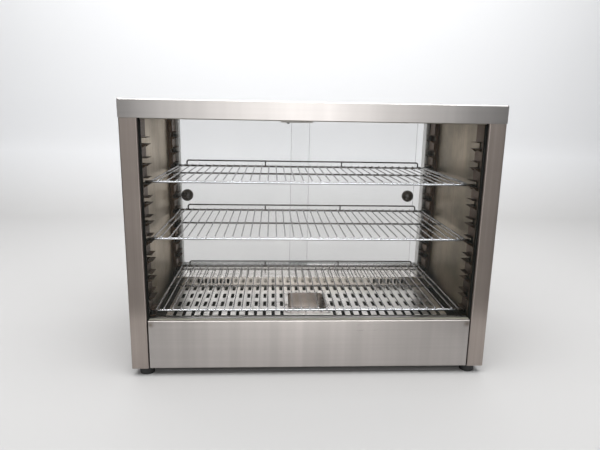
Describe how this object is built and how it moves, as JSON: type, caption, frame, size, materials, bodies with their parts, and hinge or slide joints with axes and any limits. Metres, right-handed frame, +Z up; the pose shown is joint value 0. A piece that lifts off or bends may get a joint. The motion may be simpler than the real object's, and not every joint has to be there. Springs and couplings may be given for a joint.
{
  "type": "pie warmer",
  "caption": "Countertop heated display cabinet with folded stainless body, glass front, sliding rear glass doors, wire shelves on racks, slotted floor and water pan.",
  "frame": {"origin": "centre of the bounding box footprint, on the plane the rubber feet stand on", "axes": "+X to the right seen by the customer, +Y from the glass front to the sliding doors, +Z up"},
  "size_m": [0.853, 0.4996, 0.6459],
  "materials": {
    "stainless_lid": "horizontal fine brushed grain, bright rolled top edge",
    "stainless_skin": "vertical fine brushed grain, lightly marked",
    "stainless_fascia": "horizontal fine brushed grain, bright folded edges",
    "stainless_inner": "brushed, yellowed by heat",
    "stainless_rack": "brushed, heat-tinted brown-grey",
    "stainless_floor": "pressed and punched sheet, lightly scratched",
    "stainless_hidden": "plain mill finish, dulled by heat",
    "stainless_pan": "drawn dish, satin",
    "wire": "bright plated welded wire",
    "clear_glass": "clear toughened 4 mm, greenish edge",
    "black_rubber": "moulded, matt",
    "black_seal": "extruded glazing channel, satin black",
    "clear_seal": "translucent grey silicone strip",
    "pull_black": "dark polished dome",
    "black_plastic": "moulded, fine texture",
    "switch_red": "translucent red rocker",
    "amber_lens": "clear amber cap",
    "track_aluminium": "anodised extrusion",
    "element_sheath": "oxidised metal sheath",
    "brass": "turned",
    "ceramic": "unglazed steatite",
    "screw_steel": "zinc plated"
  },
  "bodies": {
    "cabinet": {"lid_cap": "stainless_lid", "side_panel_left": "stainless_skin", "side_panel_right": "stainless_skin", "rear_control_panel": "stainless_skin", "front_fascia": "stainless_fascia", "rear_sill": "stainless_fascia", "inner_wall_left": "stainless_inner", "inner_wall_right": "stainless_inner", "roof_liner": "stainless_inner", "rack_strip_front_left": "stainless_rack", "rack_strip_front_right": "stainless_rack", "rack_strip_rear_left": "stainless_rack", "rack_strip_rear_right": "stainless_rack", "floor_plate": "stainless_floor", "base_pan": "stainless_hidden", "heater_tray": "stainless_hidden", "floor_supports": "stainless_hidden", "element_brackets": "stainless_hidden", "heating_element_left": "element_sheath", "heating_element_right": "element_sheath", "element_bushings": "brass", "cable_gland": "black_plastic", "door_track_bottom": "track_aluminium", "door_track_top": "track_aluminium", "door_jamb_left": "track_aluminium", "door_jamb_right": "track_aluminium", "track_stop_bracket": "screw_steel", "panel_screws": "screw_steel", "foot_screws": "screw_steel", "track_stop_bumper": "black_rubber", "feet": "black_rubber", "front_glass": "clear_glass", "glass_channel_left": "black_seal", "glass_channel_right": "black_seal", "glass_channel_bottom": "clear_seal", "glass_channel_top": "clear_seal", "thermostat_body": "black_plastic", "switch_housing": "black_plastic", "pilot_lamp_body": "black_plastic", "pilot_lamp_lens": "amber_lens", "terminal_block": "ceramic"},
    "door_left": {"door_glass_left": "clear_glass", "door_pull_left_inside": "pull_black", "door_pull_left_outside": "pull_black", "door_pull_left_screw": "screw_steel"},
    "door_right": {"door_glass_right": "clear_glass", "door_pull_right_inside": "pull_black", "door_pull_right_outside": "pull_black", "door_pull_right_screw": "screw_steel"},
    "top_shelf": {"shelf_top": "wire", "shelf_top_rail": "wire"},
    "middle_shelf": {"shelf_middle": "wire", "shelf_middle_rail": "wire"},
    "bottom_shelf": {"shelf_bottom": "wire", "shelf_bottom_rail": "wire"},
    "pan": {"water_pan": "stainless_pan"},
    "thermostat_control": {"thermostat_knob": "black_plastic", "thermostat_shaft": "screw_steel"},
    "power_switch": {"switch_rocker": "switch_red"}
  },
  "joints": [
    {"name": "door_left_slide", "type": "slide", "parent": "cabinet", "child": "door_left", "axis": [1, 0, 0], "range_m": [0, 0.325]},
    {"name": "door_right_slide", "type": "slide", "parent": "cabinet", "child": "door_right", "axis": [-1, 0, 0], "range_m": [-0.019, 0.305]},
    {"name": "top_shelf_slide", "type": "slide", "parent": "cabinet", "child": "top_shelf", "axis": [0, 1, 0], "range_m": [-0.02, 0.006]},
    {"name": "middle_shelf_slide", "type": "slide", "parent": "cabinet", "child": "middle_shelf", "axis": [0, 1, 0], "range_m": [-0.02, 0.006]},
    {"name": "bottom_shelf_slide", "type": "slide", "parent": "cabinet", "child": "bottom_shelf", "axis": [0, 1, 0], "range_m": [-0.02, 0.006]},
    {"name": "pan_lift", "type": "slide", "parent": "cabinet", "child": "pan", "axis": [0, 0, 1], "range_m": [0, 0.02]},
    {"name": "thermostat_turn", "type": "hinge", "parent": "cabinet", "child": "thermostat_control", "pos_m": [-0.25, 0.24175, 0.081], "axis": [0, -1, 0], "range_deg": [0, 300]},
    {"name": "switch_rock", "type": "hinge", "parent": "cabinet", "child": "power_switch", "pos_m": [-0.175, 0.22875, 0.081], "axis": [1, 0, 0], "range_deg": [0, 20]}
  ]
}
